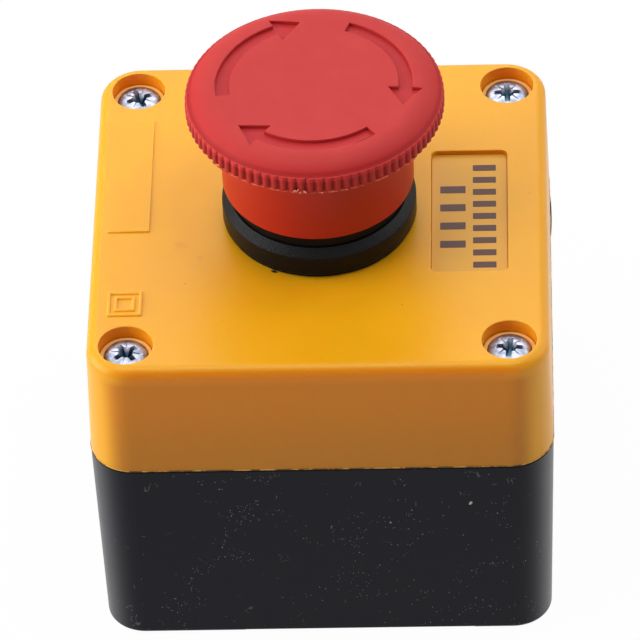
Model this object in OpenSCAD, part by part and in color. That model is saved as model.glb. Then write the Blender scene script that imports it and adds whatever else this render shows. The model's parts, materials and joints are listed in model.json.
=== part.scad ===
// Emergency stop station: a square two-part box with one turn-to-release mushroom button.
// Z is up out of the lid, X runs along the station's height, the origin is the centre of the base.

/* [Enclosure] */
// Width of the box at the joint between lid and base
case_w = 72.4; // [70:0.2:78]
// Outer corner radius at the joint
corner_r = 6.9; // [6:0.1:8]
// Height of the base
base_h = 36.8; // [34:0.1:44]
// Height of the lid
lid_h = 21; // [19:0.5:26]
// Draft of the base walls in degrees
base_draft = 1.1; // [0.5:0.1:1.5]
// Draft of the lid walls in degrees
lid_draft = 1.3; // [0.5:0.1:1.6]
// Rounding along the lid's top edge
lid_fillet = 1.8; // [1:0.1:2.4]
// Rounding along the base's bottom edge
base_fillet = 0.6; // [0.3:0.1:1]
// Wall of the base at the joint
base_wall = 3.2; // [3:0.1:4]
// Wall of the lid at the joint
lid_wall = 2.6; // [2.4:0.1:3.2]
// Floor of the base
floor_t = 2.8; // [2:0.1:4]
// Face wall of the lid
face_t = 2.6; // [2:0.1:3.4]
// Height of the corner feet under the base
foot_h = 0.4; // [0.2:0.1:0.8]
// Width of the relief between two feet
foot_gap = 36.6; // [20:0.2:40]
// Shift of the relief along X
foot_shift = 4.9; // [0:0.1:6]
// Spacing of the two wall fixing holes
fixing_pitch = 54; // [46:1:56]
// Diameter of a wall fixing hole
fixing_d = 6.2; // [6:0.1:6.6]
// Diameter of a cable entry knock-out
entry_d = 20.4; // [16:0.2:22]
// Diameter of the smaller knock-out inside it
entry_small_d = 12.8; // [10:0.2:14]
// Depth of the knock-out grooves
entry_groove = 0.8; // [0.5:0.1:1]
// Thickness of the knock-out web
entry_web = 1; // [0.8:0.1:1.2]

/* [Seal] */
// Width of the sealing cord between lid and base
seal_w = 1.4; // [1:0.1:1.6]
// Height of the sealing cord
seal_h = 1.2; // [1:0.1:1.6]
// Height of the lid's tongue that presses on the cord
tongue_h = 0.4; // [0.3:0.1:0.8]
// Width of the lip outside the seal groove
seal_lip = 0.9; // [0.7:0.1:1.1]

/* [Lid screws] */
// Distance from the joint's edge to a lid screw
screw_edge = 6.6; // [6.2:0.1:7.4]
// Diameter of the round well that a screw sits in
well_d = 8.5; // [8:0.1:9.2]
// Depth of a screw's head below the lid face
head_sink = 1.4; // [1:0.1:4]
// Thread diameter of a lid screw
screw_d = 3.5; // [3:0.1:4]
// Diameter of a lid screw's head
screw_head_d = 6.8; // [6:0.1:7.4]
// Height of a lid screw's head
screw_head_h = 2.4; // [1.8:0.1:2.8]
// Length of a lid screw under its head
screw_len = 26; // [22:1:30]
// Thickness of the sealing washer under a screw's head
washer_t = 0.8; // [0.6:0.1:1.2]
// Height of the washer's lip round the head
washer_lip = 1.5; // [1:0.1:1.7]
// Outer diameter of a thread insert
insert_d = 5.6; // [5:0.1:6.2]
// Length of a thread insert
insert_len = 8; // [6:0.5:9]

/* [Legend] */
// Length of the legend panel's pocket, along Y
legend_len = 28; // [24:0.5:32]
// Width of the legend panel's pocket, along X
legend_w = 12; // [10:0.5:13]
// Distance from the joint's edge to the pocket's middle
legend_edge = 12.7; // [11.8:0.1:13.2]
// Depth of the pocket
legend_sink = 1.3; // [0.8:0.1:1.4]
// Thickness of the legend panel
legend_t = 0.5; // [0.4:0.1:0.6]

/* [Raised marks] */
// Height of the marks moulded on the lid face
mark_h = 0.3; // [0.1:0.05:0.5]
// Width of the raised pad, along X
pad_w = 6.5; // [5:0.1:7]
// Length of the raised pad, along Y
pad_len = 26.2; // [20:0.2:28]
// Outer width of the double square
double_square_w = 5.4; // [4:0.1:6]
// Line width of the double square
double_square_line = 0.5; // [0.3:0.05:0.6]

/* [Button] */
// Diameter of the mushroom cap over its flutes
cap_d = 40.3; // [38:0.1:44]
// Number of flutes round the cap
flute_count = 89; // [60:1:120]
// Depth of a flute
flute_depth = 0.35; // [0.2:0.05:0.5]
// Height of the fluted band
flute_h = 2.7; // [2:0.1:5]
// Step from the flutes in to the crown's edge
flute_step = 0.55; // [0.5:0.05:0.8]
// Height of the rounded crown above the flutes
crown_h = 1.8; // [1.6:0.1:3]
// Radius of the flat disc on top
flat_r = 15.6; // [15:0.1:16.5]
// Diameter of the sleeve under the cap
sleeve_d = 30; // [29.8:0.1:30.2]
// Wall of the sleeve
sleeve_wall = 1; // [0.9:0.05:1.1]
// Length of the sleeve that shows under the cap
sleeve_show = 14.45; // [12.5:0.05:18]
// Travel of the button when it is struck
travel = 2.4; // [2:0.1:3]
// Turn that releases the button, in degrees
twist = 45; // [30:1:50]
// Depth of the arrows in the cap
arrow_depth = 0.65; // [0.4:0.05:1]
// Middle radius of the ring that the arrows lie on
arrow_r = 14.2; // [12:0.1:14.4]
// Width of an arrow's shaft
arrow_w = 2.1; // [1.5:0.1:2.6]
// Angle that an arrow's shaft covers
arrow_sweep = 74; // [50:1:80]

/* [Operator] */
// Diameter of the mounting hole in the lid
hole_d = 22.4; // [22.2:0.1:22.8]
// Diameter of the bezel
bezel_d = 30.5; // [30.2:0.1:33]
// Height of the bezel's straight wall
bezel_h = 3.5; // [2.5:0.1:5]
// Chamfer of the bezel
bezel_chamfer = 1.25; // [1:0.05:1.25]
// Thickness of the seal under the bezel
panel_seal_t = 0.6; // [0.4:0.1:1]
// Length of the threaded barrel below the lid face
barrel_len = 19; // [18:0.5:22]
// Diameter of the barrel
barrel_d = 22; // [21.6:0.1:22.2]
// Outer diameter of the mounting nut
nut_d = 29; // [27:0.5:30]
// Thickness of the mounting nut
nut_t = 4; // [3:0.5:5]
// Diameter of the stem that joins the cap to the slide
stem_d = 6; // [5:0.1:6]
// Diameter of the slide's tube
slide_d = 14.4; // [14:0.1:14.6]
// Diameter of the bore round the return spring
spring_bore_d = 18; // [17.6:0.1:18.4]
// Wire diameter of the return spring
return_wire = 0.8; // [0.6:0.1:0.9]

/* [Contact block] */
// Length of the contact block, along X
block_l = 30; // [28:0.5:34]
// Depth of the contact block, along Y
block_w = 12; // [11:0.5:14]
// Height of the contact block
block_h = 25; // [24:0.5:28]
// Thickness of the block's walls
block_wall = 1.4; // [1.2:0.1:1.6]
// Distance from the middle to a contact tip
tip_x = 6.2; // [5.6:0.1:7]
// Thickness of the contact strips
strip_t = 0.8; // [0.6:0.1:1]
// Diameter of a terminal screw
terminal_d = 2.5; // [2:0.1:3]

/* [Hidden] */
$fn = 96;

// Clearances: round parts that turn or slide in each other, loose parts, parts that lie face to face
run_gap = 0.05;
loose_gap = 0.3;
part_gap = 0.1;
// A cut runs this far past the surface that it opens
past = 1;

// Box: the corner arcs all stand on one centre, so the walls widen and narrow round it
joint_z = base_h;
face_z = base_h + lid_h;
half_w = case_w / 2;
corner_c = half_w - corner_r;
screw_c = half_w - screw_edge;
base_foot_r = corner_r - base_h * tan(base_draft);
base_inner = half_w - base_wall;
lid_inner = half_w - lid_wall;

// Seal groove in the base's rim
groove_out = half_w - seal_lip;
groove_in = groove_out - seal_w;
groove_depth = seal_h + tongue_h;
tongue_side = 0.1;

// Corner pillars of the base and bosses of the lid
pillar_r = 4.4;
boss_r = well_d / 2 + 0.95;
pillar_drop = 0.2;
well_depth = head_sink + screw_head_h + washer_t;
screw_seat_z = face_z - well_depth + washer_t;
insert_drop = 0.5;
insert_top_z = joint_z - pillar_drop - insert_drop;
washer_r = well_d / 2 - 0.15;

// Wall fixings and cable entries in the base
fixing_boss_r = fixing_d / 2 + 1.5;
fixing_boss_h = 1.6;
entry_z = base_h / 2;
entry_x = half_w - (base_h - entry_z) * tan(base_draft);
groove_ring = 0.9;

// Button: heights are over the lid face, each resting on the one before
bezel_top = panel_seal_t + bezel_h + bezel_chamfer;
sleeve_foot = bezel_top + loose_gap + travel;
flute_foot = sleeve_foot + sleeve_show;
flute_top = flute_foot + flute_h;
cap_top = flute_top + crown_h;
cap_r = cap_d / 2;
crown_edge_r = cap_r - flute_step;
crown_arc_r = (pow(crown_edge_r - flat_r, 2) + pow(crown_h, 2)) / (2 * crown_h);
sleeve_r = sleeve_d / 2;
sleeve_bore = sleeve_r - sleeve_wall;
neck_r = sleeve_bore - loose_gap;
cap_seat = 1.4;
arrow_start = 69.3;
arrow_head_half = 2.6;
arrow_head_len = 4;
sleeve_top = flute_foot + cap_seat;
web_t = 2.4;

// Legend pocket, and the raised marks on one centre line
legend_x = half_w - legend_edge;
mark_edge = 6.2;
mark_x = mark_edge - half_w;
pad_y = 9.1;
double_square_y = -20.4;

// Operator: slide, stem and springs
barrel_r = barrel_d / 2;
barrel_key_w = 3;
barrel_key_r = hole_d / 2 + 1;
seal_r = bezel_d / 2 - 0.45;
bore_r = spring_bore_d / 2;
slide_r = slide_d / 2;
guide_r = slide_r + 0.15;
flange_r = bore_r - loose_gap;
flange_t = 3;
neck_top = bezel_top + 5.2;
retainer_t = 2.2;
flange_top = neck_top - retainer_t - part_gap;
flange_foot = flange_top - flange_t;
spring_seat = -13;
slide_foot = -(barrel_len - 2.6);
key_w = 2.2;
key_r = bore_r + 0.8;
stem_r = stem_d / 2;
hub_r = stem_r + 2;
hub_len = 5.6;
hub_foot = sleeve_top - web_t - hub_len;
stem_seat = hub_foot + 2.5;
clip_z = -13.5;
clip_t = 0.8;
chamber_top = clip_z + clip_t + loose_gap;
stem_foot = clip_z - 1.6;
pin_r = 1;
pin_half = slide_r - 1.2;
pin_z = -3;
ring_t = 1;
ring_rise = 1.2;
ring_z = slide_foot + ring_rise;
ring_out = guide_r + 1;
twist_wire = 0.8;
twist_r = hub_r - 0.5;
cap_screw_d = 2.5;
cap_screw_head_d = 6;
cap_screw_head_h = 1.9;
cap_screw_len = 9;

// Collar and contact block, below the barrel
collar_r = 15.5;
collar_h = 9;
collar_web = 2;
collar_foot = -(barrel_len + collar_web);
collar_screw_rise = 5.5;
collar_screw_z = collar_foot + collar_screw_rise;
small_screw_r = 1.5;
small_head_r = 2.7;
small_head_h = 1.8;
block_screw_len = 7;
ear_c = 9.4;
ear_t = 2;
ear_half = 3.6;
block_top = collar_foot;
block_foot = block_top - block_h;
half_l = block_l / 2;
half_d = block_w / 2;
end_wall_x = half_l - 4;
end_wall_t = 1.2;
pusher_x = 2.4;
pusher_y = 3;
pusher_head_y = 2.4;
pusher_head_x = sqrt(pow(guide_r - loose_gap, 2) - pow(pusher_head_y, 2));
pusher_head_t = 1.6;
pusher_top = slide_foot - run_gap;
tip_t = 0.6;
tip_r = 1.4;
strip_y = 2.1;
strip_drop = 9;
strip_z = block_top - strip_drop;
bridge_top = strip_z - 2 * tip_t - run_gap;
window_top = bridge_top + part_gap;
window_foot = bridge_top - strip_t - 4.4;
window_y = strip_y + 0.2;
pusher_foot = window_foot - 2;
peg_r = 1.4;
terminal_z = strip_z - 5;
leg_foot = terminal_z - 3;
leg_x = end_wall_x + end_wall_t;
clamp_t = 0.8;
clamp_half = 2.8;
terminal_len = 4.4;
terminal_head_r = 2.2;
terminal_head_h = 1.5;
lug_w = 1.6;
lug_h = 5;
lug_d = 1.4;
peg_len = 2;
contact_spring_r = 1.5;
contact_wire = 0.35;
pusher_spring_r = 2.1;
pusher_wire = 0.45;

// Box forms

// A 2D wall section drawn from the corner centre outwards, swept round the rounded square
module round_square_sweep(centre) {
    for (turn = [0:90:270]) rotate(turn) {
        translate([centre, centre]) rotate_extrude(angle = 90) children();
        translate([centre, centre, 0]) rotate([90, 0, 0]) linear_extrude(2 * centre) children();
    }
}

// Solid block with drafted walls; a positive draft narrows it upwards, the edge rounding is on top
module drafted_block(height, foot_r, draft, fillet) {
    arc_x = foot_r - (height - fillet) * tan(draft) - fillet / cos(draft);
    arc_z = height - fillet;
    round_square_sweep(corner_c) {
        polygon([[0, 0], [foot_r, 0],
            [arc_x + fillet * cos(draft), arc_z + fillet * sin(draft)],
            [arc_x, arc_z], [arc_x, height], [0, height]]);
        translate([arc_x, arc_z]) circle(fillet);
    }
    translate([-corner_c, -corner_c, 0]) cube([2 * corner_c, 2 * corner_c, height]);
}

// Straight-sided rounded square, given by its half width
module round_square(half, height) {
    linear_extrude(height) round_square_2d(half);
}

module round_square_2d(half) {
    r = half - corner_c;
    square([2 * half, 2 * corner_c], center = true);
    square([2 * corner_c, 2 * half], center = true);
    for (x = [-1, 1], y = [-1, 1]) translate([x * corner_c, y * corner_c]) circle(r);
}

// Closed frame between two half widths
module round_square_frame(outer, inner, height) {
    linear_extrude(height) difference() {
        round_square_2d(outer);
        round_square_2d(inner);
    }
}

// Repeats its children at the four screw corners
module at_corners() {
    for (x = [-1, 1], y = [-1, 1]) translate([x * screw_c, y * screw_c, 0]) children();
}

// Repeats its children, mirrored, at both ends of the contact block
module at_both_ends() {
    for (side = [0, 1]) mirror([side, 0, 0]) children();
}

module ring(outer, inner, height) {
    difference() {
        cylinder(h = height, r = outer);
        translate([0, 0, -past]) cylinder(h = height + 2 * past, r = inner);
    }
}

// Screw with a slotted cylinder head, its shank below z = 0
module slotted_screw(shank_r, shank_len, head_r, head_h) {
    translate([0, 0, -shank_len]) cylinder(h = shank_len + head_h / 2, r = shank_r);
    difference() {
        cylinder(h = head_h, r = head_r);
        translate([-2 * head_r, -head_r * 0.15, head_h * 0.55]) cube([4 * head_r, head_r * 0.3, head_h]);
    }
}

// Helical spring of round wire that stands on z = 0, with closed end turns
module coil(mean_r, wire_d, height, turns) {
    steps = 16;
    sides = 6;
    wire_r = wire_d / 2;
    last = turns * steps;
    pitch = (height - 3.1 * wire_d) / (turns - 2);
    function rise(t) = t < 1 ? t * wire_d * 1.05
        : t > turns - 1 ? height - wire_d - (turns - t) * wire_d * 1.05
        : wire_d * 1.05 + (t - 1) * pitch;
    points = [for (i = [0:last], k = [0:sides - 1])
        let (a = 360 * i / steps, b = 360 * k / sides, r = mean_r + wire_r * cos(b))
        [r * cos(a), r * sin(a), wire_r + rise(i / steps) + wire_r * sin(b)]];
    skin = [for (i = [0:last - 1], k = [0:sides - 1])
        [i * sides + k, (i + 1) * sides + k,
         (i + 1) * sides + (k + 1) % sides, i * sides + (k + 1) % sides]];
    first_end = [[for (k = [0:sides - 1]) k]];
    last_end = [[for (k = [sides - 1:-1:0]) last * sides + k]];
    polyhedron(points, concat(skin, first_end, last_end), convexity = 10);
}

// Enclosure

module base_box() {
    color([0.13, 0.13, 0.14]) difference() {
        union() {
            difference() {
                translate([0, 0, joint_z]) mirror([0, 0, 1])
                    drafted_block(base_h, corner_r, base_draft, base_fillet);
                translate([0, 0, floor_t]) round_square(base_inner, base_h);
            }
            intersection() {
                at_corners() cylinder(h = joint_z - pillar_drop, r = pillar_r);
                translate([0, 0, foot_h]) round_square(base_inner + 0.5, base_h);
            }
            fixing_bosses();
        }
        seal_groove();
        at_corners() insert_pocket();
        fixing_holes();
        for (turn = [0, 180]) rotate(turn) entry_knockout();
        foot_relief();
    }
}

module seal_groove() {
    translate([0, 0, joint_z - groove_depth])
        round_square_frame(groove_out, groove_in, groove_depth + past);
}

// Pocket for the insert, with room for the screw's end under it
module insert_pocket() {
    translate([0, 0, insert_top_z - insert_len])
        cylinder(h = insert_len + past, r = insert_d / 2 + run_gap);
    translate([0, 0, screw_seat_z - screw_len - 2])
        cylinder(h = screw_len, r = screw_d / 2 + loose_gap);
}

module fixing_bosses() {
    for (x = [-1, 1]) translate([x * fixing_pitch / 2, 0, foot_h])
        cylinder(h = floor_t - foot_h + fixing_boss_h, r = fixing_boss_r);
}

module fixing_holes() {
    for (x = [-1, 1]) translate([x * fixing_pitch / 2, 0, -past])
        cylinder(h = floor_t + fixing_boss_h + 2 * past, r = fixing_d / 2);
}

// Two rings cut into the outside of the wall, and a shallow pocket inside, leave a web to break out
module entry_knockout() {
    translate([entry_x - entry_groove, 0, entry_z]) rotate([0, 90, 0]) {
        ring(entry_d / 2, entry_d / 2 - groove_ring, 2);
        ring(entry_small_d / 2, entry_small_d / 2 - groove_ring, 2);
    }
    translate([base_inner - past, 0, entry_z]) rotate([0, 90, 0])
        cylinder(h = entry_x - entry_groove - entry_web - base_inner + past, r = entry_d / 2);
}

// The underside stands on its four corners
module foot_relief() {
    reach = half_w + past;
    translate([foot_shift - foot_gap / 2, -reach, -past]) cube([foot_gap, 2 * reach, foot_h + past]);
    translate([-reach, -foot_gap / 2, -past]) cube([2 * reach, foot_gap, foot_h + past]);
}

module lid() {
    color([0.95, 0.68, 0.16]) difference() {
        union() {
            difference() {
                translate([0, 0, joint_z]) drafted_block(lid_h, corner_r, lid_draft, lid_fillet);
                translate([0, 0, joint_z - past]) round_square(lid_inner, lid_h - face_t + past);
            }
            at_corners() translate([0, 0, joint_z]) cylinder(h = lid_h - face_t / 2, r = boss_r);
            translate([mark_x, 0, face_z - face_t / 2])
                linear_extrude(face_t / 2 + mark_h) raised_marks();
            translate([0, 0, joint_z - tongue_h])
                round_square_frame(groove_out - tongue_side, groove_in + tongue_side, tongue_h + past);
        }
        at_corners() {
            translate([0, 0, face_z - well_depth]) cylinder(h = well_depth + past, r = well_d / 2);
            translate([0, 0, joint_z - past]) cylinder(h = lid_h, r = screw_d / 2 + loose_gap);
        }
        translate([0, 0, face_z - face_t - past]) operator_hole();
        translate([legend_x, 0, face_z - legend_sink]) linear_extrude(legend_sink + past)
            legend_outline(0);
    }
}

// Round hole with a notch that keeps the operator from turning
module operator_hole() {
    cylinder(h = face_t + 2 * past, r = hole_d / 2);
    translate([-barrel_key_w / 2 - 0.2, 0, 0])
        cube([barrel_key_w + 0.4, barrel_key_r + 0.4, face_t + 2 * past]);
}

module raised_marks() {
    translate([0, pad_y]) square([pad_w, pad_len], center = true);
    translate([0, double_square_y]) for (w = [double_square_w, double_square_w * 0.6]) difference() {
        square(w, center = true);
        square(w - 2 * double_square_line, center = true);
    }
}

module legend_outline(inset) {
    r = 1 - inset / 2;
    square([legend_w - 2 * inset - 2 * r, legend_len - 2 * inset], center = true);
    square([legend_w - 2 * inset, legend_len - 2 * inset - 2 * r], center = true);
    for (x = [-1, 1], y = [-1, 1])
        translate([x * (legend_w / 2 - inset - r), y * (legend_len / 2 - inset - r)]) circle(r, $fn = 32);
}

module lid_gasket() {
    color([0.09, 0.09, 0.09]) translate([0, 0, joint_z - groove_depth])
        round_square_frame(groove_out - run_gap, groove_in + run_gap, seal_h);
}

// Pan head with a cross recess
module lid_screws() {
    color([0.72, 0.75, 0.8]) at_corners() translate([0, 0, screw_seat_z]) difference() {
        union() {
            translate([0, 0, -screw_len]) cylinder(h = screw_len, r = screw_d / 2);
            rotate_extrude() pan_head_section(screw_head_d / 2, screw_head_h);
        }
        translate([0, 0, screw_head_h - 1.3]) for (turn = [0, 90]) rotate(turn)
            translate([-screw_head_d * 0.28, -0.45, 0]) cube([screw_head_d * 0.56, 0.9, 2]);
    }
}

module pan_head_section(r, h) {
    edge = h * 0.5;
    square([r - edge, h]);
    square([r, h - edge]);
    translate([r - edge, h - edge]) circle(edge, $fn = 48);
}

module screw_washers() {
    color([0.8, 0.76, 0.66]) at_corners() translate([0, 0, screw_seat_z - washer_t]) {
        ring(washer_r, screw_d / 2 + run_gap, washer_t);
        ring(washer_r, screw_head_d / 2 + part_gap, washer_t + washer_lip);
    }
}

module thread_inserts() {
    color([0.78, 0.62, 0.3]) at_corners() translate([0, 0, insert_top_z - insert_len])
        ring(insert_d / 2, screw_d / 2 + run_gap, insert_len);
}

module legend_panel() {
    color([0.86, 0.66, 0.4]) translate([legend_x, 0, face_z - legend_sink])
        linear_extrude(legend_t) legend_outline(part_gap);
}

// Operator

module panel_seal() {
    color([0.06, 0.06, 0.06]) translate([0, 0, face_z])
        ring(seal_r, barrel_key_r + part_gap, panel_seal_t);
}

// Bezel, neck and barrel in one moulding, bored for the slide and its spring
module operator_body() {
    color([0.08, 0.08, 0.09]) translate([0, 0, face_z]) difference() {
        union() {
            rotate_extrude() bezel_section();
            translate([0, 0, -barrel_len]) cylinder(h = barrel_len + bezel_h, r = barrel_r);
            translate([-barrel_key_w / 2, 0, -face_t]) cube([barrel_key_w, barrel_key_r, face_t + 2]);
        }
        translate([0, 0, spring_seat]) cylinder(h = neck_top - spring_seat + past, r = bore_r);
        translate([0, 0, -barrel_len - past]) cylinder(h = barrel_len + past, r = guide_r);
        translate([0, 0, ring_z - ring_t / 2 - part_gap])
            cylinder(h = ring_t + 2 * part_gap, r = ring_out + part_gap);
        translate([0, 0, neck_top - retainer_t]) cylinder(h = retainer_t + past, r = bore_r + 1);
        for (turn = [0, 180]) rotate(turn)
            translate([-key_w / 2 - 0.2, 0, flange_foot - travel - loose_gap])
                cube([key_w + 0.4, key_r + 0.3, neck_top]);
    }
}

module bezel_section() {
    r = bezel_d / 2;
    edge = 0.4;
    wall_top = panel_seal_t + bezel_h;
    translate([0, panel_seal_t + edge]) square([r, bezel_h - edge]);
    translate([0, panel_seal_t]) square([r - edge, bezel_h]);
    translate([r - edge, panel_seal_t + edge]) circle(edge, $fn = 48);
    polygon([[0, wall_top], [r, wall_top], [r - bezel_chamfer, bezel_top], [0, bezel_top]]);
    translate([0, panel_seal_t]) square([neck_r, neck_top - panel_seal_t]);
}

// Ring nut with six lugs, under the lid
module mounting_nut() {
    color([0.16, 0.16, 0.17]) translate([0, 0, face_z - face_t - nut_t]) difference() {
        union() {
            cylinder(h = nut_t, r = nut_d / 2);
            for (turn = [30:60:330]) rotate(turn)
                translate([nut_d / 2 - 1, -1.6, 0]) cube([2.2, 3.2, nut_t]);
        }
        translate([0, 0, -past]) cylinder(h = nut_t + 2 * past, r = barrel_r + run_gap);
    }
}

// Keeps the slide in the neck
module retainer_ring() {
    color([0.2, 0.2, 0.22]) translate([0, 0, face_z + neck_top - retainer_t])
        ring(bore_r + 1 - run_gap, hub_r + 0.9, retainer_t);
}

// Split spring ring that the slide's groove drops onto when the button is struck
module latch_ring() {
    color([0.75, 0.75, 0.78]) translate([0, 0, face_z + ring_z - ring_t / 2]) rotate(20)
        rotate_extrude(angle = 320) translate([slide_r + 0.1, 0])
            square([ring_out - slide_r - 0.1, ring_t]);
}

// Slides in the barrel without turning; the stem turns in it
module plunger_slide() {
    color([0.9, 0.9, 0.86]) translate([0, 0, face_z]) difference() {
        union() {
            translate([0, 0, slide_foot]) cylinder(h = flange_top - slide_foot, r = slide_r);
            translate([0, 0, flange_foot]) cylinder(h = flange_t, r = flange_r);
            translate([-key_w / 2, -key_r, flange_foot]) cube([key_w, 2 * key_r, flange_t]);
        }
        translate([0, 0, slide_foot - past]) {
            cylinder(h = flange_top - slide_foot + 2 * past, r = stem_r + run_gap);
            cylinder(h = chamber_top - slide_foot + past, r = slide_r - 1.7);
        }
        translate([0, 0, ring_z + travel - ring_t / 2 - part_gap])
            ring(slide_r + past, slide_r - 0.6, ring_t + 2 * part_gap);
        pin_window();
    }
}

// Room for the cross pin to swing through the release angle, on both sides
module pin_window() {
    w = 2 * pin_r + 0.6;
    translate([0, 0, pin_z - w / 2]) {
        for (turn = [0, -twist]) rotate(turn) translate([-slide_r - past, -w / 2, 0])
            cube([2 * (slide_r + past), w, w]);
        for (turn = [0, 180]) rotate(turn - twist)
            rotate_extrude(angle = twist) square([slide_r + past, w]);
    }
}

module return_spring() {
    color([0.7, 0.7, 0.72]) translate([0, 0, face_z + spring_seat + run_gap])
        coil((slide_r + bore_r) / 2, return_wire, flange_foot - spring_seat - 2 * run_gap, 7);
}

// Torsion spring that turns the cap back after release
module twist_spring() {
    color([0.7, 0.7, 0.72]) translate([0, 0, face_z + flange_top + run_gap])
        coil(twist_r, twist_wire, hub_foot - flange_top - loose_gap, 6);
}

module head_stem() {
    color([0.62, 0.63, 0.66]) translate([0, 0, face_z]) difference() {
        translate([0, 0, stem_foot]) cylinder(h = stem_seat - stem_foot, r = stem_r);
        translate([stem_r * 0.8, -stem_r, hub_foot]) cube([stem_r, 2 * stem_r, stem_seat]);
        translate([0, 0, stem_seat - cap_screw_len])
            cylinder(h = cap_screw_len + past, r = cap_screw_d / 2 + run_gap);
        translate([0, 0, pin_z]) rotate([0, 90, 0])
            cylinder(h = 4 * stem_r, r = pin_r + run_gap, center = true);
        translate([0, 0, clip_z]) ring(stem_r + past, stem_r - 0.7, clip_t);
    }
}

module cross_pin() {
    color([0.72, 0.72, 0.75]) translate([0, 0, face_z + pin_z]) rotate([0, 90, 0])
        cylinder(h = 2 * pin_half, r = pin_r, center = true);
}

// Split clip in the stem's groove, under the slide
module stem_clip() {
    color([0.5, 0.5, 0.53]) translate([0, 0, face_z + clip_z + run_gap]) rotate(30)
        rotate_extrude(angle = 300) translate([stem_r - 0.7 + run_gap, 0])
            square([2.4, clip_t - 2 * run_gap]);
}

// Sleeve with a web that carries the cap and a hub that holds the stem
module head_sleeve() {
    color([0.82, 0.2, 0.12]) translate([0, 0, face_z]) difference() {
        union() {
            translate([0, 0, sleeve_foot]) ring(sleeve_r, sleeve_bore, sleeve_top - sleeve_foot);
            translate([0, 0, sleeve_top - web_t]) cylinder(h = web_t, r = sleeve_r - sleeve_wall / 2);
            translate([0, 0, hub_foot]) cylinder(h = hub_len + past, r = hub_r);
            for (turn = [0:60:300]) rotate(turn) translate([hub_r - 0.5, -0.5, sleeve_top - web_t - 3])
                cube([sleeve_bore - hub_r + 1, 1, 3 + web_t / 2]);
        }
        translate([0, 0, hub_foot - past]) difference() {
            cylinder(h = stem_seat - hub_foot + past, r = stem_r + run_gap);
            translate([stem_r * 0.8 + run_gap, -stem_r, 0]) cube([stem_r, 2 * stem_r, stem_seat]);
        }
        translate([0, 0, stem_seat - past]) cylinder(h = web_t + hub_len, r = cap_screw_d / 2 + part_gap);
        translate([0, 0, sleeve_top - cap_screw_head_h - part_gap])
            cylinder(h = cap_screw_head_h + past, r = cap_screw_head_d / 2 + part_gap);
    }
}

// Cap: flat disc, rounded crown and fluted rim, hollowed under the rim, with three arrows in the top
module mushroom_cap() {
    color([0.84, 0.27, 0.27]) translate([0, 0, face_z]) difference() {
        union() {
            rotate_extrude() crown_section();
            translate([0, 0, flute_foot]) flutes();
        }
        translate([0, 0, flute_foot - past]) cylinder(h = cap_seat + past, r = sleeve_r + run_gap);
        translate([0, 0, flute_foot - past]) rim_hollow();
        for (turn = [0:120:240]) rotate(turn + arrow_start) translate([0, 0, cap_top - arrow_depth])
            linear_extrude(arrow_depth + past) arrow_outline();
    }
}

// The cap's half section above the flutes, and the drum inside them
module crown_section() {
    intersection() {
        union() {
            square([flat_r, cap_top]);
            translate([flat_r, cap_top - crown_arc_r]) circle(crown_arc_r, $fn = 180);
        }
        union() {
            translate([0, flute_top]) square([crown_edge_r, crown_h]);
            translate([0, flute_foot]) square([crown_edge_r, flute_h]);
        }
    }
}

// Fluted band, its upper edge rounded in to the crown
module flutes() {
    intersection() {
        linear_extrude(flute_h) flute_outline();
        rotate_extrude() polygon([[0, 0], [cap_r + flute_step / 2, 0],
            [cap_r + flute_step / 2, flute_h - 2 * flute_step],
            [cap_r - flute_step * 0.4, flute_h - flute_step * 0.2],
            [crown_edge_r, flute_h], [0, flute_h]]);
    }
}

// Rounded flutes with narrow grooves between them
function flute_r(a) = cap_r - flute_depth * pow(abs(cos(flute_count * a / 2)), 3);

module flute_outline() {
    steps = flute_count * 4;
    polygon([for (i = [0:steps - 1]) let (a = 360 * i / steps) flute_r(a) * [cos(a), sin(a)]]);
}

// Ring groove under the rim, crossed by ribs
module rim_hollow() {
    difference() {
        ring(cap_r - 1.5, sleeve_r + 1.2, flute_h + past - 0.6);
        for (turn = [0:30:330]) rotate(turn) translate([sleeve_r, -0.5, past + 0.4])
            cube([cap_r - sleeve_r, 1, flute_h]);
    }
}

// Starts on the X axis and runs clockwise
module arrow_outline() {
    intersection() {
        difference() {
            circle(arrow_r + arrow_w / 2, $fn = 180);
            circle(arrow_r - arrow_w / 2, $fn = 180);
        }
        polygon([[0, 0], [2 * arrow_r, 0], 2 * arrow_r * [cos(arrow_sweep / 2), -sin(arrow_sweep / 2)],
            2 * arrow_r * [cos(arrow_sweep), -sin(arrow_sweep)]]);
    }
    rotate(-arrow_sweep) polygon([[arrow_r - arrow_head_half, 0.05], [arrow_r + arrow_head_half, 0.05],
        [arrow_r, -arrow_head_len]]);
}

module cap_screw() {
    head_foot = sleeve_top - cap_screw_head_h - part_gap;
    color([0.72, 0.74, 0.78]) translate([0, 0, face_z + head_foot]) difference() {
        union() {
            translate([0, 0, -cap_screw_len]) cylinder(h = cap_screw_len, r = cap_screw_d / 2);
            rotate_extrude() pan_head_section(cap_screw_head_d / 2, cap_screw_head_h);
        }
        translate([-1.6, -0.35, cap_screw_head_h - 0.9]) cube([3.2, 0.7, 2]);
    }
}

// Contact block

// Clamps the barrel and carries the contact block
module mounting_collar() {
    color([0.3, 0.31, 0.33]) translate([0, 0, face_z + collar_foot]) difference() {
        cylinder(h = collar_h, r = collar_r);
        translate([0, 0, collar_web]) cylinder(h = collar_h, r = barrel_r + run_gap);
        translate([0, 0, -past]) cylinder(h = collar_h, r = guide_r + 0.6);
        translate([0, 0, collar_screw_z - collar_foot]) rotate([-90, 0, 0])
            cylinder(h = collar_r + past, r = small_screw_r + run_gap);
        for (s = [-1, 1]) translate([s * ear_c, s * ear_c, -past])
            cylinder(h = past + block_screw_len - ear_t + loose_gap, r = small_screw_r + run_gap);
    }
}

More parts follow.
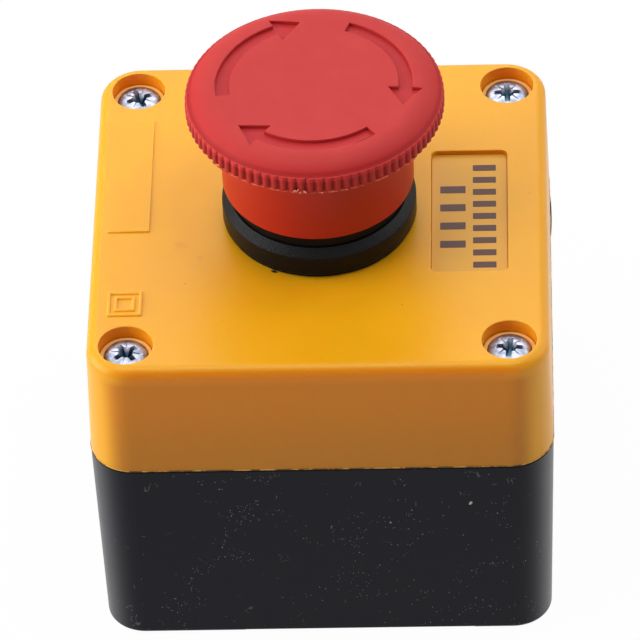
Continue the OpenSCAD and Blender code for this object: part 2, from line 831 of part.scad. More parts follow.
module collar_screw() {
    color([0.72, 0.74, 0.78]) translate([0, collar_r + part_gap, face_z + collar_screw_z])
        rotate([-90, 0, 0])
        slotted_screw(small_screw_r, collar_r - barrel_r, small_head_r, small_head_h);
}

// Open towards -Y, with a chamber at each end for the terminal
module block_housing() {
    color([0.12, 0.12, 0.13]) translate([0, 0, face_z]) difference() {
        union() {
            translate([-half_l, -half_d, block_top - ear_t]) cube([block_l, block_w, ear_t]);
            translate([-half_l, -half_d + block_wall, block_foot])
                cube([block_l, block_w - block_wall, block_h - ear_t / 2]);
            for (turn = [0, 180]) rotate(turn) translate([ear_c - ear_half, 0, block_top - ear_t])
                cube([2 * ear_half, ear_c + ear_half, ear_t]);
        }
        inner = half_d - block_wall;
        translate([-end_wall_x, -half_d - past, block_foot + block_wall])
            cube([2 * end_wall_x, inner + half_d + past, block_h - block_wall - ear_t]);
        at_both_ends() {
            translate([leg_x, -half_d - past, block_foot - past])
                cube([half_l, half_d + past + (half_d - block_wall), block_h + past - ear_t]);
        }
        at_both_ends() strip_slot();
        translate([-pusher_x - 0.25, -half_d - past, block_top - ear_t - past])
            cube([2 * pusher_x + 0.5, half_d + past + pusher_y + 0.25, ear_t + 2 * past]);
        for (s = [-1, 1]) translate([s * ear_c, s * ear_c, block_top - ear_t - past])
            cylinder(h = ear_t + 2 * past, r = small_screw_r + part_gap);
    }
}

// Openings in the inner end wall for the contact strip and the terminal screw
module strip_slot() {
    translate([end_wall_x - past, -half_d - past, strip_z - part_gap])
        cube([end_wall_t + 2 * past, half_d + past + strip_y + part_gap, strip_t + 2 * part_gap]);
    translate([end_wall_x - past, 0, terminal_z]) rotate([0, 90, 0])
        cylinder(h = end_wall_t + 2 * past, r = terminal_d / 2 + 0.2);
}

module block_cover() {
    color([0.18, 0.18, 0.19]) translate([0, 0, face_z]) {
        translate([-half_l, -half_d, block_foot]) cube([block_l, block_wall, block_h - ear_t]);
        at_both_ends()
            translate([end_wall_x - part_gap - lug_w, -half_d + block_wall - lug_d / 4,
                block_foot + block_wall + part_gap])
            cube([lug_w, lug_d, lug_h]);
    }
}

module block_screws() {
    color([0.72, 0.74, 0.78]) for (s = [-1, 1])
        translate([s * ear_c, s * ear_c, face_z + block_top - ear_t]) mirror([0, 0, 1])
        slotted_screw(small_screw_r, block_screw_len, small_head_r, small_head_h);
}

// Pushed down by the slide's foot; the bridge and its spring sit in the window
module contact_pusher() {
    color([0.92, 0.92, 0.9]) translate([0, 0, face_z]) difference() {
        union() {
            translate([-pusher_head_x, -pusher_head_y, pusher_top - pusher_head_t])
                cube([2 * pusher_head_x, 2 * pusher_head_y, pusher_head_t]);
            translate([-pusher_x, -pusher_y, pusher_foot])
                cube([2 * pusher_x, 2 * pusher_y, pusher_top - pusher_foot]);
            translate([0, 0, pusher_foot - peg_len]) cylinder(h = 1.2 * peg_len, r = peg_r);
        }
        translate([-pusher_x - past, -window_y, window_foot])
            cube([2 * (pusher_x + past), 2 * window_y, window_top - window_foot]);
    }
}

module bridge_contact() {
    reach = tip_x + tip_r + 0.3;
    color([0.8, 0.6, 0.3]) translate([-reach, -strip_y, face_z + bridge_top - strip_t])
        cube([2 * reach, 2 * strip_y, strip_t]);
}

module bridge_tips() {
    color([0.85, 0.85, 0.87]) for (s = [-1, 1])
        translate([s * tip_x, 0, face_z + bridge_top]) cylinder(h = tip_t, r = tip_r);
}

module contact_spring() {
    color([0.7, 0.7, 0.72]) translate([0, 0, face_z + window_foot + run_gap])
        coil(contact_spring_r, contact_wire, bridge_top - strip_t - window_foot - 2 * run_gap, 7);
}

module pusher_spring() {
    color([0.7, 0.7, 0.72]) translate([0, 0, face_z + block_foot + block_wall + run_gap])
        coil(pusher_spring_r, pusher_wire, pusher_foot - block_foot - block_wall - 2 * run_gap, 7);
}

// Flat strip inside the block, bent down over the end wall to the terminal
module fixed_contacts() {
    inner = tip_x - tip_r - 0.3;
    color([0.8, 0.6, 0.3]) at_both_ends() translate([0, 0, face_z]) difference() {
        union() {
            translate([inner, -strip_y, strip_z])
                cube([leg_x + strip_t - inner, 2 * strip_y, strip_t]);
            translate([leg_x, -strip_y, leg_foot])
                cube([strip_t, 2 * strip_y, strip_z + strip_t - leg_foot]);
        }
        translate([leg_x - past, 0, terminal_z]) rotate([0, 90, 0])
            cylinder(h = strip_t + 2 * past, r = terminal_d / 2 + run_gap);
    }
}

module fixed_tips() {
    color([0.85, 0.85, 0.87]) at_both_ends()
        translate([tip_x, 0, face_z + strip_z - tip_t]) cylinder(h = tip_t, r = tip_r);
}

module terminal_clamps() {
    color([0.72, 0.74, 0.78]) at_both_ends()
        translate([leg_x + strip_t, 0, face_z + terminal_z]) difference() {
            translate([0, -clamp_half, -clamp_half]) cube([clamp_t, 2 * clamp_half, 2 * clamp_half]);
            translate([-past, 0, 0]) rotate([0, 90, 0])
                cylinder(h = 2 * past + clamp_t, r = terminal_d / 2 + run_gap);
        }
}

module terminal_screws() {
    color([0.72, 0.74, 0.78]) at_both_ends()
        translate([leg_x + strip_t + clamp_t, 0, face_z + terminal_z]) rotate([0, 90, 0])
        slotted_screw(terminal_d / 2, terminal_len, terminal_head_r, terminal_head_h);
}

base_box();
lid();
lid_gasket();
lid_screws();
screw_washers();
thread_inserts();
legend_panel();
panel_seal();
operator_body();
mounting_nut();
retainer_ring();
latch_ring();
plunger_slide();
return_spring();
twist_spring();
head_stem();
cross_pin();
stem_clip();
head_sleeve();
mushroom_cap();
cap_screw();
mounting_collar();
collar_screw();
block_housing();
block_cover();
block_screws();
contact_pusher();
bridge_contact();
bridge_tips();
contact_spring();
pusher_spring();
fixed_contacts();
fixed_tips();
terminal_clamps();
terminal_screws();
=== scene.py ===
"""Emergency stop station: square yellow and black box with one red mushroom push button."""
import json
import math

import bpy
from mathutils import Matrix, Vector

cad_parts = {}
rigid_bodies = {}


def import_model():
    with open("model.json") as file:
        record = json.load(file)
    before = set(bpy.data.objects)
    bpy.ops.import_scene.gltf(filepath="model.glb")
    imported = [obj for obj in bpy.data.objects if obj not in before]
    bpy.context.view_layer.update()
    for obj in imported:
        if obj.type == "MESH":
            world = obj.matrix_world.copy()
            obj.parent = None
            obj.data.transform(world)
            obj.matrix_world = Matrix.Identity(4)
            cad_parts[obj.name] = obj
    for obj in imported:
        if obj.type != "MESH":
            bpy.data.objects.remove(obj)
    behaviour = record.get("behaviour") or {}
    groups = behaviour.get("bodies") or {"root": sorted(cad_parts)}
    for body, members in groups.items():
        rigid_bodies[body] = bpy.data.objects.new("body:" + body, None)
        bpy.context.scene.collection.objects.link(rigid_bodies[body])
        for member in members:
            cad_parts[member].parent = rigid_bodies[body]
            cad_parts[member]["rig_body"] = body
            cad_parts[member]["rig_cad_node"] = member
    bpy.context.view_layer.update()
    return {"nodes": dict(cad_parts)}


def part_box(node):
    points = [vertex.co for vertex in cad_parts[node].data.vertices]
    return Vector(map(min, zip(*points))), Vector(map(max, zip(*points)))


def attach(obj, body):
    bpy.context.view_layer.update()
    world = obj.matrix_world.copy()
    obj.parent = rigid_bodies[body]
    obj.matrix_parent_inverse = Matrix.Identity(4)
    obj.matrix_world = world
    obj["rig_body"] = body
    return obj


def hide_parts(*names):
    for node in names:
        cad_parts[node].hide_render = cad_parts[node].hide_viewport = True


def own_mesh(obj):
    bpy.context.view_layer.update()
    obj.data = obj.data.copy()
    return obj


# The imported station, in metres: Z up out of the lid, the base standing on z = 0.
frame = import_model()
nodes = frame["nodes"]
scene = bpy.context.scene
scene.view_settings.view_transform = "Standard"
mm = 0.001
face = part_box("panel_seal")[0][2]

# Camera: a long lens a metre away, 43 degrees above the lid and slightly turned and tilted.
# The angles, the lens and the shifts are those that the box's edges give, for a picture
# 640 pixels wide. The columns of its place are right, up, back and where it stands.
turn, lift, tilt = math.radians(2.775), math.radians(43.381), math.radians(-2.818)
focal_pixels, picture_pixels, sensor_mm = 6420.253, 640, 36
distance, shift_right, shift_down = 1.010038, 0.000004, 0.016925
back = Vector((math.sin(turn) * math.cos(lift), -math.cos(turn) * math.cos(lift),
               math.sin(lift)))
level = Vector((math.cos(turn), math.sin(turn), 0))
rise = back.cross(level)
right = math.cos(tilt) * level + math.sin(tilt) * rise
up = -math.sin(tilt) * level + math.cos(tilt) * rise
eye = back * distance + right * shift_right - up * shift_down + Vector((0, 0, face))
bpy.ops.object.camera_add()
camera = bpy.context.object
camera.name = "camera"
camera.data.sensor_width = sensor_mm
camera.data.sensor_fit = "HORIZONTAL"
camera.data.lens = focal_pixels / picture_pixels * sensor_mm
camera.data.clip_start, camera.data.clip_end = 0.05, 20
camera.matrix_world = Matrix((*((right[i], up[i], back[i], eye[i]) for i in range(3)),
                              (0, 0, 0, 1)))
scene.camera = camera


# Floor: a pale sheet under the station. The camera sees it as white with a faint shadow,
# and it throws soft light back at the base.
def paint(r, g, b):
    """A colour as a screen shows it, from 0 to 255, as the shader wants it."""
    return tuple(v / 255 / 12.92 if v < 10.3 else ((v / 255 + 0.055) / 1.055) ** 2.4
                 for v in (r, g, b)) + (1,)


class Wire:
    """A number or colour on its way through a material. Sums on it add Math nodes: a | b is
    the larger of two, and a < b is 1 where it holds and 0 elsewhere."""

    def __init__(self, tree, socket):
        self.tree, self.socket = tree, socket

    def __add__(self, other):
        return self.tree.maths("ADD", self, other)

    def __sub__(self, other):
        return self.tree.maths("SUBTRACT", self, other)

    def __rsub__(self, other):
        return self.tree.maths("SUBTRACT", other, self)

    def __mul__(self, other):
        return self.tree.maths("MULTIPLY", self, other)

    def __pow__(self, other):
        return self.tree.maths("POWER", self, other)

    def __or__(self, other):
        return self.tree.maths("MAXIMUM", self, other)

    def __lt__(self, other):
        return self.tree.maths("LESS_THAN", self, other)

    def __abs__(self):
        return self.tree.maths("ABSOLUTE", self)

    __radd__, __rmul__ = __add__, __mul__


class Tree:
    """The nodes of a material or of the room. Each new one gives an output back as a Wire."""

    def __init__(self, tree):
        self.tree = tree

    def add(self, kind, sockets=None, output=0, **settings):
        node = self.tree.nodes.new(kind)
        for name, value in settings.items():
            setattr(node, name, value)
        self.plug(node, sockets or {})
        return Wire(self, node.outputs[output])

    def plug(self, node, sockets):
        for name, value in sockets.items():
            if isinstance(value, Wire):
                self.tree.links.new(value.socket, node.inputs[name])
            else:
                node.inputs[name].default_value = value

    def maths(self, operation, *values):
        return self.add("ShaderNodeMath", dict(enumerate(values)), operation=operation)

    def rays(self):
        """1 for a ray that comes from the camera, from a gloss, and through a clear thing."""
        return [self.add("ShaderNodeLightPath", output=kind) for kind in (
            "Is Camera Ray", "Is Glossy Ray", "Is Transmission Ray")]


class Finish(Tree):
    """A material, with the object's own coordinates in millimetres to hang its patterns on."""

    def __init__(self, name, **constants):
        self.material = bpy.data.materials.new(name)
        self.material.use_nodes = True
        super().__init__(self.material.node_tree)
        self.shader = self.tree.nodes["Principled BSDF"]
        own = self.add("ShaderNodeTexCoord", output="Object")
        self.place = self.add("ShaderNodeMapping", {0: own, "Scale": (1000, 1000, 1000)})
        self.use(**constants)

    def axis(self, letter):
        return self.add("ShaderNodeSeparateXYZ", {0: self.place}, output=letter)

    def distance(self, point, place=None):
        return self.add("ShaderNodeVectorMath", {0: place or self.place, 1: point},
                        output="Value", operation="DISTANCE")

    def stretch(self, scale=(1, 1, 1), move=(0, 0, 0)):
        return self.add("ShaderNodeMapping", {0: self.place, "Scale": scale, "Location": move})

    def noise(self, scale, detail=2, roughness=0.5, place=None, output=0):
        return self.add("ShaderNodeTexNoise", {
            "Vector": place or self.place, "Scale": scale, "Detail": detail,
            "Roughness": roughness}, output=output)

    def spots(self, scale, size, share, place):
        """Round specks: size is their radius in cells, share how many cells have one."""
        near, cell = (self.add("ShaderNodeTexVoronoi", {"Vector": place, "Scale": scale},
                               output=output) for output in ("Distance", "Color"))
        return (near < size) * (self.add("ShaderNodeSeparateColor", {0: cell}) < share)

    def above(self, value, low, high):
        """0 under low, 1 over high, smooth between them."""
        return self.add("ShaderNodeMapRange", {"Value": value, "From Min": low, "From Max": high},
                        interpolation_type="SMOOTHSTEP")

    def blend(self, share, first, second):
        """Mixes two colours, each a Wire or the three numbers that paint takes."""
        first, second = (v if isinstance(v, Wire) else paint(*v) for v in (first, second))
        return self.add("ShaderNodeMix", {0: share, 6: first, 7: second}, output=2,
                        data_type="RGBA")

    def bump(self, height, depth, strength):
        """Height from 0 to 1 becomes depth in millimetres."""
        return self.add("ShaderNodeBump", {"Height": height, "Distance": depth * mm,
                                           "Strength": strength})

    def use(self, **sockets):
        """Feeds the shader's own sockets."""
        self.plug(self.shader, {name.replace("_", " "): v for name, v in sockets.items()})

    def on(self, *things):
        """Gives the finish to pieces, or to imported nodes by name."""
        for thing in things:
            thing = nodes[thing] if isinstance(thing, str) else thing
            thing.data.materials.clear()
            thing.data.materials.append(self.material)


bpy.ops.mesh.primitive_plane_add(size=6, location=(0, 0, -0.4 * mm))
floor = bpy.context.object
floor.name = "floor"
sheet = Finish("floor_sheet", Roughness=0.9)
sheet.use(Base_Color=paint(228, 228, 228))
white = sheet.add("ShaderNodeEmission", {"Color": (1, 1, 1, 1), "Strength": 1.0})
camera_ray, glossy_ray, clear_ray = sheet.rays()
cover = sheet.add("ShaderNodeMixShader", {0: glossy_ray | clear_ray | camera_ray * 0.97,
                                          1: Wire(sheet, sheet.shader.outputs[0]), 2: white})
sheet.plug(sheet.tree.nodes["Material Output"], {"Surface": cover})
sheet.on(floor)

# Light: a large lamp overhead, one behind, one at each side, and a plain grey room.
# The camera, gloss and clear things see the room as white.
world = bpy.data.worlds.new("room")
scene.world = world
world.use_nodes = True
room = Tree(world.node_tree)
camera_ray, glossy_ray, clear_ray = room.rays()
tone = room.add("ShaderNodeMix", {0: camera_ray | glossy_ray | clear_ray,
                                  6: (0.01, 0.01, 0.01, 1), 7: (1, 1, 1, 1)},
                output=2, data_type="RGBA")
room.plug(room.tree.nodes["Background"], {"Color": tone, "Strength": 1})


def lamp(name, place, size, power):
    """A rectangular lamp that looks at the middle of the station."""
    bpy.ops.object.light_add(type="AREA", location=place)
    light = bpy.context.object
    light.name = name
    light.data.shape = "RECTANGLE"
    light.data.size, light.data.size_y = size
    light.data.energy = power
    aim = Vector((0, 0, 0.04)) - Vector(place)
    light.rotation_euler = aim.to_track_quat("-Z", "Y").to_euler()


lamp("lamp_over", (0.0, -0.06, 0.95), (0.9, 0.55), 4.5)
lamp("lamp_back", (-0.05, 0.75, 0.75), (1.0, 0.6), 4.3)
lamp("lamp_left", (-0.79, -0.09, 0.36), (0.85, 0.7), 8.0)
lamp("lamp_right", (0.75, 0.25, 0.50), (0.8, 0.7), 3.1)

# Base box: injection-moulded black plastic with a fine matt grain, on four low feet.
# Handling has left pale dust and short fibres on it, mostly to the left, and one small chip
# at the front.
black = Finish("black_moulding", Roughness=0.42, Specular_IOR_Level=0.13, Coat_Roughness=0.35)
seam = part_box("base_box")[1][2]
# The box's top edge, just under the lid, is painted dark and less glossy: painted shade of the
# joint's gap.
painted_seam_shade = black.above(black.axis("Z"), seam / mm - 0.42, seam / mm - 0.3)
bent = black.add("ShaderNodeVectorMath", {0: black.place, 1: black.noise(0.9, 1, output="Color")},
                 operation="ADD")
strings = black.above(abs(black.noise(0.05, 2, 0.6, bent) - 0.5), 0.026, 0.006)
clusters = black.above(black.noise(0.07), 0.54, 0.66)
leftward = 0.35 + 0.65 * black.above(black.axis("X"), 24, -16)
crowd = (strings * 0.8 | clusters * 0.35) * leftward
specks = black.spots(2.4, 0.17, crowd + 0.012, bent)
hairs = abs(black.noise(0.4, 1, 0.5, bent) - 0.5) < 0.006
hairs = hairs * black.above(black.noise(0.35, 1, place=black.stretch(move=(9, 4, 2))), 0.66, 0.70)
chip = black.distance((23.6, -35.6, 29.2), bent) < 0.32
dust = specks * (0.4 + black.noise(1.1, 1) * 0.8) | hairs * 0.22
haze = black.noise(0.3, 4, 0.65)
worn = black.blend(haze * 0.35, (12, 12, 20), (21, 23, 36))
worn = black.blend(dust, worn, (168, 166, 164))
worn = black.blend(chip, worn, (206, 186, 172))
slant = black.add("ShaderNodeLayerWeight", {"Blend": 0.5}, output="Facing")
black.use(Base_Color=black.blend(painted_seam_shade, worn, (4, 4, 5)),
          Roughness=0.38 + haze * 0.14 + (dust * 0.3 | painted_seam_shade * 0.5),
          Coat_Weight=black.above(slant, 0.3, 0.62) * (0.6 - painted_seam_shade * 0.6),
          Normal=black.bump(black.noise(7, 3, 0.6), 0.012, 0.5))
black.on("base_box")

# Lid: injection-moulded warm yellow plastic with a rounded top edge, four screw wells,
# a pocket for the legend, a plain raised pad, and a raised double square.
# Its foot stands on the seal and its four screws hold it to the base.


def pick(piece):
    """Leaves only this piece selected and active."""
    bpy.ops.object.select_all(action="DESELECT")
    piece.select_set(True)
    bpy.context.view_layer.objects.active = piece


def edit():
    """Goes into edit mode with everything selected."""
    bpy.ops.object.mode_set(mode="EDIT")
    bpy.ops.mesh.select_all(action="SELECT")


def leave():
    bpy.ops.object.mode_set(mode="OBJECT")


def made(name):
    """Names the piece that was just made, and its mesh."""
    piece = bpy.context.object
    piece.name = piece.data.name = name
    return piece


def twin(piece, name):
    pick(piece)
    bpy.ops.object.duplicate()
    return made(name)


def change(piece, kind, **settings):
    """Applies a modifier of this kind to the active piece."""
    modifier = piece.modifiers.new("change", kind)
    for name, value in settings.items():
        setattr(modifier, name, value)
    bpy.ops.object.modifier_apply(modifier="change")


def refill(piece, level):
    """Takes the faces out of a level flat and fills its outline again."""
    for side in piece.data.polygons:
        side.select = all(abs(piece.data.vertices[v].co.z - level) < 0.0015 * mm
                          for v in side.vertices)
    bpy.ops.object.mode_set(mode="EDIT")
    bpy.ops.mesh.delete(type="FACE")
    bpy.ops.mesh.select_mode(type="EDGE")
    bpy.ops.mesh.select_all(action="DESELECT")
    bpy.ops.mesh.select_non_manifold(use_wire=False, use_multi_face=False,
                                     use_non_contiguous=False, use_verts=False)
    bpy.ops.mesh.fill(use_beauty=True)
    bpy.ops.mesh.select_mode(type="FACE")
    leave()
    for side in piece.data.polygons:
        if side.select and side.normal.z < 0:
            side.flip()


def copy_of(node, name, levels=()):
    """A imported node's mesh as a piece of its own, its loose triangles joined. The flats at
    the levels are filled again with even triangles, so that their edges can be rounded."""
    piece = twin(nodes[node], name)
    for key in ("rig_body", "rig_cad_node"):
        if key in piece:
            del piece[key]
    bpy.ops.object.parent_clear(type="CLEAR_KEEP_TRANSFORM")
    bpy.ops.mesh.customdata_custom_splitnormals_clear()
    bpy.context.tool_settings.mesh_select_mode = (False, False, True)
    edit()
    bpy.ops.mesh.remove_doubles(threshold=0.002 * mm)
    bpy.ops.mesh.dissolve_limited(angle_limit=math.radians(0.3))
    leave()
    for level in levels:
        refill(piece, level)
    return piece


def soften(piece, width, where, levels=()):
    """Rounds the sharp outer edges whose middle is at a place that where accepts."""
    mesh = piece.data
    pick(piece)
    sides = {}
    for side in mesh.polygons:
        for key in side.edge_keys:
            sides.setdefault(key, []).append(side)
    weights = mesh.attributes.new("bevel_weight_edge", "FLOAT", "EDGE")
    for edge in mesh.edges:
        pair = sides[tuple(sorted(edge.vertices))]
        middle = (mesh.vertices[edge.vertices[0]].co + mesh.vertices[edge.vertices[1]].co) / 2
        if len(pair) == 2 and pair[0].normal.angle(pair[1].normal, 0) > math.radians(30):
            outer = (pair[1].center - pair[0].center).dot(pair[0].normal) < 0
            if outer and where(middle):
                weights.data[edge.index].value = 1
    change(piece, "BEVEL", limit_method="WEIGHT", width=width * mm, segments=2,
           use_clamp_overlap=False)
    for level in levels:
        refill(piece, level)
    bpy.ops.object.shade_smooth_by_angle(angle=math.radians(35))
    change(piece, "WEIGHTED_NORMAL", keep_sharp=True)


# The screws' head radius gives the wells' place from the screws' box. The flat part of the top
# reaches to flat, and the wells' painted light to well_r.
head_r, well_r, flat = 3.4, 4.6, 33
face_mm, marks_top = face / mm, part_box("lid")[1][2]
lid = copy_of("lid", "lid_shell", (face, marks_top))
soften(lid, 0.15, lambda p: p.z > face - 0.2 * mm and max(abs(p.x), abs(p.y)) < flat * mm,
       (face, marks_top))
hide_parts("lid")
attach(lid, "housing")
yellow = Finish("yellow_moulding", Roughness=0.4, Specular_IOR_Level=0.27,
                Subsurface_Weight=0.4, Subsurface_Scale=0.0025)
cloud = yellow.noise(0.08, 3, 0.55)
marks = yellow.spots(0.5, 0.05, 0.18, yellow.stretch(move=(3.1, 7.7, 0)))
x, y, height = abs(yellow.axis("X")), abs(yellow.axis("Y")), yellow.axis("Z")
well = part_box("lid_screws")[1][0] / mm - head_r
in_bore = yellow.maths("SQRT", (x - well) ** 2 + (y - well) ** 2) < well_r
# Below the top, in the wells and the legend pocket, the colour is a brighter, deeper orange:
# painted light in the recesses.
sunk_painted_light = yellow.above(face_mm - height, 0.1, 0.8) * (in_bore | ((x | y) < flat))
top = yellow.blend(cloud, (234, 164, 12), (241, 174, 20))
# Round the bezel the top is painted lighter: painted light over the button's shadow.
painted_light_ring = yellow.above(yellow.maths("SQRT", x ** 2 + y ** 2), 23, 16.5)
top = yellow.blend(painted_light_ring * 0.8, top, (254, 176, 18))
# The front and back walls and the rounding above them are painted a darker orange than the top,
# darker towards their foot: painted shade. The side walls and corners keep the top's yellow.
wall_painted_shade = yellow.blend(yellow.above(height, face_mm - 20, face_mm - 5), (203, 127, 1), (220, 133, 1))
wall_painted_shade = yellow.blend(yellow.above(x, 30.6, 33.8), wall_painted_shade, (240, 168, 20))
fillet_painted_shade = yellow.blend(yellow.above(x, 28, 33), (232, 138, 4), (240, 166, 16))
fillet_painted_shade = yellow.blend(yellow.above(height, face_mm - 3.5, face_mm - 1.8), wall_painted_shade, fillet_painted_shade)
plain = yellow.blend(yellow.above(height, face_mm - 0.8, face_mm - 0.05), fillet_painted_shade, top)
plain = yellow.blend(sunk_painted_light, plain, yellow.blend(in_bore, (255, 180, 48), (255, 156, 8)))
# The sides of the raised pad and double square are painted lighter: painted light over their
# shaded sides.
painted_light_flank = yellow.above(height, face_mm + 0.02, face_mm + 0.05) * (height < face_mm + 0.27)
plain = yellow.blend(painted_light_flank, plain, (255, 200, 70))
for place, size in (((-21.8, -7.0, 57.8), 1.9), ((-18.6, -10.1, 57.8), 1.1)):
    smudge = yellow.distance(place) + yellow.noise(0.9) * size
    smudge = yellow.above(smudge, size * 1.3, size * 0.6)
    plain = yellow.blend(smudge * 0.2, plain, (224, 112, 60))
yellow.use(Base_Color=yellow.blend(marks * 0.8, plain, (120, 62, 14)),
           Roughness=0.28 + cloud * 0.1,
           Normal=yellow.bump(yellow.noise(4, 3, 0.6), 0.014, 0.7))
yellow.on(lid)

# Seals: a black rubber cord in the base's groove between the two halves, and a rubber ring
# under the bezel. Each is pressed between the mouldings and keeps water out.
rubber = Finish("black_rubber", Roughness=0.75, Specular_IOR_Level=0.1)
rubber.use(Base_Color=paint(20, 20, 21), Normal=rubber.bump(rubber.noise(4, 3), 0.02, 0.5))
rubber.on("lid_gasket", "panel_seal")

# Parting flash: where the lid's mould closed, a thin torn fin of the yellow plastic runs along
# the lid's foot. Its colour breaks up at random into pale yellow and dark brown, and the dark
# brown is painted shade of the gap under the lid.


def mark(piece, kind, where):
    """Goes into edit mode with the corners, edges or faces selected that lie where asked."""
    mesh = piece.data
    pick(piece)
    bpy.context.tool_settings.mesh_select_mode = [kind == k for k in ("VERT", "EDGE", "FACE")]
    bpy.ops.object.mode_set(mode="EDIT")
    bpy.ops.mesh.select_all(action="DESELECT")
    leave()
    parts = {"VERT": mesh.vertices, "EDGE": mesh.edges, "FACE": mesh.polygons}[kind]
    for part in parts:
        corners = [part.index] if kind == "VERT" else part.vertices
        middle = sum((mesh.vertices[v].co for v in corners), Vector()) / len(corners)
        part.select = where(middle)
    bpy.ops.object.mode_set(mode="EDIT")


def pull(x, y, z):
    """Extrudes what is selected, by millimetres."""
    bpy.ops.mesh.extrude_region_move(TRANSFORM_OT_translate={"value": (x * mm, y * mm, z * mm)})


side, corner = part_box("base_box")[1][0], 6.9 * mm
bpy.ops.mesh.primitive_plane_add(size=2 * side, location=(0, 0, seam + 0.01 * mm))
flash = made("parting_flash")
bpy.ops.object.transform_apply()
edit()
bpy.ops.mesh.bevel(offset=corner, segments=24, affect="VERTICES")
leave()
mark(flash, "EDGE", lambda p: min(abs(p.x), abs(p.y)) < 0.01 * mm)
bpy.ops.mesh.subdivide(number_cuts=170)
edit()
bpy.ops.mesh.delete(type="ONLY_FACE")
edit()
pull(0, 0, 0.17)
edit()
bpy.ops.transform.vertex_random(offset=0.03 * mm, seed=7)
leave()
change(flash, "SOLIDIFY", thickness=0.11 * mm, offset=0)
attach(flash, "housing")
flash_and_gap_shade = Finish("yellow_flash_and_gap_shade", Roughness=0.5, Specular_IOR_Level=0.3)
flash_and_gap_shade.use(Base_Color=flash_and_gap_shade.blend(flash_and_gap_shade.above(flash_and_gap_shade.noise(0.3, 3, 0.7), 0.48, 0.60),
                               (104, 68, 26), (228, 168, 78)),
         Normal=flash_and_gap_shade.bump(flash_and_gap_shade.noise(6, 3), 0.02, 0.5))
flash_and_gap_shade.on(flash)

# Seal strand: at the right side a short bit of the cord is squeezed out of the joint and
# bows away from the wall as a thin black strand.
bow = Vector((side - 0.12 * mm, 15.2 * mm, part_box("lid_gasket")[1][2]))
bpy.ops.mesh.primitive_circle_add(vertices=8, radius=0.04 * mm, fill_type="NGON", location=bow,
                                  rotation=(math.pi / 2, 0, 0))
strand = made("seal_strand")
bpy.ops.object.transform_apply()
edit()
step = 1.1
for out, thicker in ((0.1, 1.5), (0.07, 1.3), (0.05, 1.1), (0.04, 1), (0.02, 1), (0, 1),
                     (-0.01, 1), (-0.02, 1), (-0.04, 0.9), (-0.06, 0.8), (-0.08, 0.7),
                     (-0.1, 0.6)):
    pull(out, step, 0)
    bow += Vector((out * mm, step * mm, 0))
    bpy.ops.transform.resize(value=(thicker, 1, thicker), center_override=bow)
edit()
bpy.ops.mesh.normals_make_consistent(inside=False)
leave()
bpy.ops.object.shade_smooth_by_angle(angle=math.radians(50))
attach(strand, "housing")
rubber.on(strand)

# Lid screws: zinc-plated steel, with a low domed head, a cross recess and four star lines.
# Each stands on the washer in its well and was driven to another angle.


def carve(piece, tool):
    """Cuts the tool's form out of the piece, and takes the tool away."""
    pick(piece)
    change(piece, "BOOLEAN", object=tool, operation="DIFFERENCE", solver="EXACT")
    pick(tool)
    bpy.ops.object.delete()


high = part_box("lid_screws")[1]
dome, rim, shank_r, shank, tip = 0.8, 1.6, 1.75, 24.5, 1.5
bpy.ops.mesh.primitive_uv_sphere_add(segments=64, ring_count=24, radius=head_r * mm)
screw = made("lid_screw_1")
mark(screw, "VERT", lambda p: p.z < -0.001 * mm)
bpy.ops.mesh.delete(type="VERT")
edit()
bpy.ops.transform.resize(value=(1, 1, dome / head_r), center_override=(0, 0, 0))
leave()
mark(screw, "EDGE", lambda p: abs(p.z) < 0.001 * mm)
pull(0, 0, -rim)
bpy.ops.mesh.edge_face_add()
bpy.ops.mesh.inset(thickness=(head_r - shank_r) * mm)
pull(0, 0, -shank)
pull(0, 0, -tip)
bpy.ops.transform.resize(value=(0.7, 0.7, 1), center_override=(0, 0, 0))
edit()
bpy.ops.mesh.normals_make_consistent(inside=False)
leave()
for turned, size, middle in ((0, (4.6, 0.95, 1.9), 0.05), (90, (4.6, 0.95, 1.9), 0.05),
                             (45, (5.2, 0.22, 0.5), 0.77), (135, (5.2, 0.22, 0.5), 0.77)):
    bpy.ops.mesh.primitive_cube_add(size=mm, location=(0, 0, middle * mm), scale=size,
                                    rotation=(0, 0, math.radians(turned)))
    tool = bpy.context.object
    bpy.ops.object.transform_apply()
    mark(tool, "VERT", lambda p: p.z < 0)
    bpy.ops.transform.resize(value=(0.45, 0.45, 1), center_override=(0, 0, 0))
    leave()
    carve(screw, tool)
bpy.ops.mesh.primitive_cone_add(vertices=32, radius1=0.4 * mm, radius2=1.3 * mm,
                                depth=1.9 * mm, location=(0, 0, 0.02 * mm))
carve(screw, bpy.context.object)
soften(screw, 0.05, lambda p: p.z > 0.3 * mm and p.xy.length < 2.9 * mm)
screws = [screw] + [twin(screw, name) for name in ("lid_screw_2", "lid_screw_3", "lid_screw_4")]
for piece, x, y, turned in zip(screws, (-1, 1, -1, 1), (-1, -1, 1, 1), (38, -6, 24, 2)):
    pick(piece)
    piece.location = (x * well * mm, y * well * mm, high[2] - dome * mm)
    piece.rotation_euler.z = math.radians(turned)
    bpy.ops.object.transform_apply()
    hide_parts("lid_screws")
    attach(piece, "housing")
zinc = Finish("zinc_plate", Metallic=1, Roughness=0.25)
bluish = zinc.above(zinc.noise(0.8, 3, 0.6), 0.35, 0.65)
